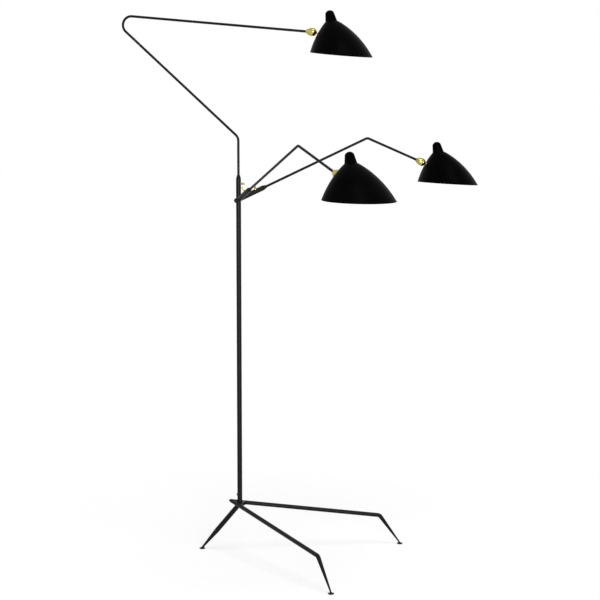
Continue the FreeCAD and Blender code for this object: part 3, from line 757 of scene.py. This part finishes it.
def shade_tree():
    """The whole shade. Its wall leans, so it is thicker where it is measured level."""
    own = [("Wall", "Float"), ("Bead Radius", "Float"), ("Stud Hole Radius", "Float"),
           ("Stud Hole Place", "Vector"), ("Stud Hole Turn", "Vector"), ("Enamel", "Material")]
    shared = DOME_INPUTS + [pair for pair in HORN_INPUTS if pair not in DOME_INPUTS]
    tree, given, result = new_tree("oblique_shade", shared + own)
    wall = given.outputs["Wall"]
    side = sum_of(tree, "MULTIPLY", wall, LEVEL_WALL)
    outer_dome = run_group(tree, dome, given, DOME_INPUTS)
    outer_horn = run_group(tree, horn, given, HORN_INPUTS, Along=HORN_ROWS)
    inner_dome = run_group(tree, dome, given, DOME_INPUTS, Inset=side, Skirt=SKIRT)
    inner_horn = run_group(tree, horn, given, HORN_INPUTS, Along=HORN_ROWS, Inset=wall)
    lump = one_solid(tree, outer_dome, outer_horn, rim_bead(tree, given))
    hollow = one_solid(tree, inner_dome, inner_horn)
    shell = cut_from(tree, lump, hollow, stud_hole(tree, given))
    ending(tree, rounded_look(tree, shell), given.outputs["Enamel"], result)
    return tree


shade = shade_tree()
print("shade tree has", len(shade.nodes), "nodes")

# %% [markdown]
# A shade hangs on its swivel's stud, so that is what places it. The record gives, for
# each swivel, the ball's centre and the lines that the shade tilts and turns about. The
# tilt line lies across the shade, and the turn line runs down the stud at a known slope
# to the rim. Two such lines fix how the shade lies.

# %% Where each shade lies
STUD_SLOPE = math.radians(15.6)
BALL_IN_SHADE = Vector((-107.11, 0.0, 75.63)) * MM
BALL_TO_WALL = Vector((13.0, 0.0, -3.63)) * MM
joints = {joint["name"]: joint for joint in frame["joints"]}


def shade_place(arm):
    """Matrix from the middle of a shade's rim to the lamp."""
    across = -Vector(joints[arm + "_shade_tilt"]["axis"])
    stud = Vector(joints[arm + "_shade_turn"]["axis"])
    square = stud.cross(across)
    ahead = math.cos(STUD_SLOPE) * stud + math.sin(STUD_SLOPE) * square
    above = math.cos(STUD_SLOPE) * square - math.sin(STUD_SLOPE) * stud
    turn = Matrix((ahead, across, above)).transposed()
    ball = Vector(joints[arm + "_shade_tilt"]["pos_m"])
    return Matrix.Translation(ball - turn @ BALL_IN_SHADE) @ turn.to_4x4()


for arm in ARMS:
    print(arm, "rim middle", [round(c, 4) for c in shade_place(arm).translation])

# %% Shade sizes
SHADE_VALUES = {
    "Rim ring": (0.0, 116.5 * MM, 134.0 * MM),
    "Lower ring": (-19.49 * MM, 77.69 * MM, 84.90 * MM),
    "Upper ring": (-42.27 * MM, 16.72 * MM, 16.02 * MM),
    "Crown ring": (-46.5 * MM, 17.5 * MM, 18.0 * MM),
    "Rim height": 0.0,
    "Lower height": 92.29 * MM,
    "Upper height": 125.44 * MM,
    "Crown height": 125.0 * MM,
    "Foot Radius": 25.0 * MM,
    "Shoulder Radius": 16.5 * MM,
    "Shoulder Height": 43.5 * MM,
    "Length": 55.5 * MM,
    "Place": (-44.2 * MM, 0.0, 106.0 * MM),
    "Lean": (0.0, math.radians(-16.2), 0.0),
    "Around": 128,
    "Along": 48,
    "Wall": 1.4 * MM,
    "Bead Radius": 0.9 * MM,
    "Stud Hole Radius": 2.55 * MM,
    "Stud Hole Place": tuple(BALL_IN_SHADE + BALL_TO_WALL),
    "Stud Hole Turn": (0.0, math.pi / 2 + STUD_SLOPE, 0.0),
    "Enamel": shade_enamel,
}
print("a shade is set by", len(SHADE_VALUES), "values")

# %% [markdown]
# All three shades are the same, so the shape is grown once and a copy of it is settled
# on each swivel.

# %% Shades
shade_mesh = grown_mesh("shade_shape", shade, SHADE_VALUES)
for arm in ARMS:
    settle(arm + "_shade_shell", shade_mesh, shade_place(arm),
           arm + "_head", arm + "_shade")

# %% [markdown]
# ## The thumbscrews
#
# Each arm is locked by a small turned brass screw. It has a stem that presses on the arm,
# a collar that sits outside the sleeve, a narrow neck, and a head with fine grooves along
# it for finger and thumb. The grooves repeat round the head, so a rule makes them: the
# radius dips wherever a wave round the head passes its peak. Grooves could be cut out
# one by one, but the wave keeps their number and depth in two inputs.


# %% One turned length of a screw
LENGTH_ROWS = 4
ROW = 1.0 / LENGTH_ROWS
NEAR_END = 0.1


def turned_length(tree, radius, start, end, around, chamfer, groove=0.0):
    """Closed round length with both of its edges chamfered, grooved where asked."""
    tube, spot, rise = plain_tube(tree, around, LENGTH_ROWS)
    at_foot = sum_of(tree, "LESS_THAN", rise, NEAR_END)
    at_top = sum_of(tree, "GREATER_THAN", rise, 1.0 - NEAR_END)
    at_end = sum_of(tree, "ADD", at_foot, at_top)
    between = sum_of(tree, "SUBTRACT", rise, ROW)
    between = sum_of(tree, "MULTIPLY", between, 1.0 / (1.0 - 2.0 * ROW))
    between = sum_of(tree, "MINIMUM", sum_of(tree, "MAXIMUM", between, 0.0), 1.0)
    first = sum_of(tree, "ADD", start, chamfer)
    last = sum_of(tree, "SUBTRACT", end, chamfer)
    height = blend_of(tree, "FLOAT", first, last, between)
    height = sum_of(tree, "SUBTRACT", height, sum_of(tree, "MULTIPLY", at_foot, chamfer))
    height = sum_of(tree, "ADD", height, sum_of(tree, "MULTIPLY", at_top, chamfer))
    wide = sum_of(tree, "SUBTRACT", radius, sum_of(tree, "MULTIPLY", at_end, chamfer))
    wide = sum_of(tree, "SUBTRACT", wide, groove)
    x = sum_of(tree, "MULTIPLY", spot.outputs["X"], wide)
    y = sum_of(tree, "MULTIPLY", spot.outputs["Y"], wide)
    return moved_to(tree, tube, x, y, height)


print("helper ready:", turned_length.__name__)


# %% Grooves round the head
PEAKS_PER_WAVE = 2.0
GROOVE_SHARPNESS = 4.0


def groove_wave(tree, number, depth):
    """How far the radius dips at a point, from the point's direction round the screw."""
    spot = add(tree, "ShaderNodeSeparateXYZ")
    tree.links.new(add(tree, "GeometryNodeInputPosition").outputs[0], spot.inputs[0])
    angle = sum_of(tree, "ARCTAN2", spot.outputs["Y"], spot.outputs["X"])
    waves = sum_of(tree, "MULTIPLY", number, 1.0 / PEAKS_PER_WAVE)
    turns = sum_of(tree, "MULTIPLY", angle, waves)
    wave = sum_of(tree, "ABSOLUTE", sum_of(tree, "COSINE", turns))
    return sum_of(tree, "MULTIPLY", sum_of(tree, "POWER", wave, GROOVE_SHARPNESS), depth)


print("helper ready:", groove_wave.__name__)

# %% Screw tree
SCREW_LENGTHS = ("Stem", "Collar", "Neck", "Head")
POINTS_PER_GROOVE = 8.0
PLAIN_SIDES = 48
PLAIN_CHAMFER = 0.15 * MM
OVERLAP = 0.3 * MM


def screw_tree():
    """The whole screw: four lengths that overlap a little and are joined into one."""
    inputs = [(length + " Radius", "Float") for length in SCREW_LENGTHS]
    inputs += [(length + " Start", "Float") for length in SCREW_LENGTHS]
    inputs += [("Tip", "Float"), ("Chamfer", "Float"), ("Grooves", "Int"),
               ("Groove Depth", "Float"), ("Metal", "Material")]
    tree, given, result = new_tree("knurled_screw", inputs)
    number = given.outputs["Grooves"]
    groove = groove_wave(tree, number, given.outputs["Groove Depth"])
    starts = [given.outputs[length + " Start"] for length in SCREW_LENGTHS]
    ends = starts[1:] + [given.outputs["Tip"]]
    parts = []
    for length, start, end in zip(SCREW_LENGTHS, starts, ends):
        is_head = length == "Head"
        parts.append(turned_length(
            tree, given.outputs[length + " Radius"],
            start, end if is_head else sum_of(tree, "ADD", end, OVERLAP),
            sum_of(tree, "MULTIPLY", number, POINTS_PER_GROOVE) if is_head else PLAIN_SIDES,
            given.outputs["Chamfer"] if is_head else PLAIN_CHAMFER,
            groove if is_head else 0.0))
    ending(tree, rounded_look(tree, one_solid(tree, *parts)), given.outputs["Metal"], result)
    return tree


screw = screw_tree()
print("screw tree has", len(screw.nodes), "nodes")

# %% Thumbscrews
SCREW_VALUES = {
    "Stem Radius": 2.5 * MM, "Stem Start": 5.15 * MM,
    "Collar Radius": 4.0 * MM, "Collar Start": 9.9 * MM,
    "Neck Radius": 2.0 * MM, "Neck Start": 13.4 * MM,
    "Head Radius": 3.7 * MM, "Head Start": 16.4 * MM,
    "Tip": 25.4 * MM,
    "Chamfer": 0.7 * MM,
    "Grooves": 20,
    "Groove Depth": 0.35 * MM,
    "Metal": brass,
}


def screw_place(arm):
    """Matrix that stands a screw on the line that it turns about."""
    joint = joints[arm + "_thumbscrew_turn"]
    turn = Vector(joint["axis"]).to_track_quat("Z", "Y").to_matrix().to_4x4()
    return Matrix.Translation(Vector(joint["pos_m"])) @ turn


screw_mesh = grown_mesh("screw_shape", screw, SCREW_VALUES)
for arm in ARMS:
    settle(arm + "_knurled_screw", screw_mesh, screw_place(arm),
           arm + "_screw", arm + "_thumbscrew")
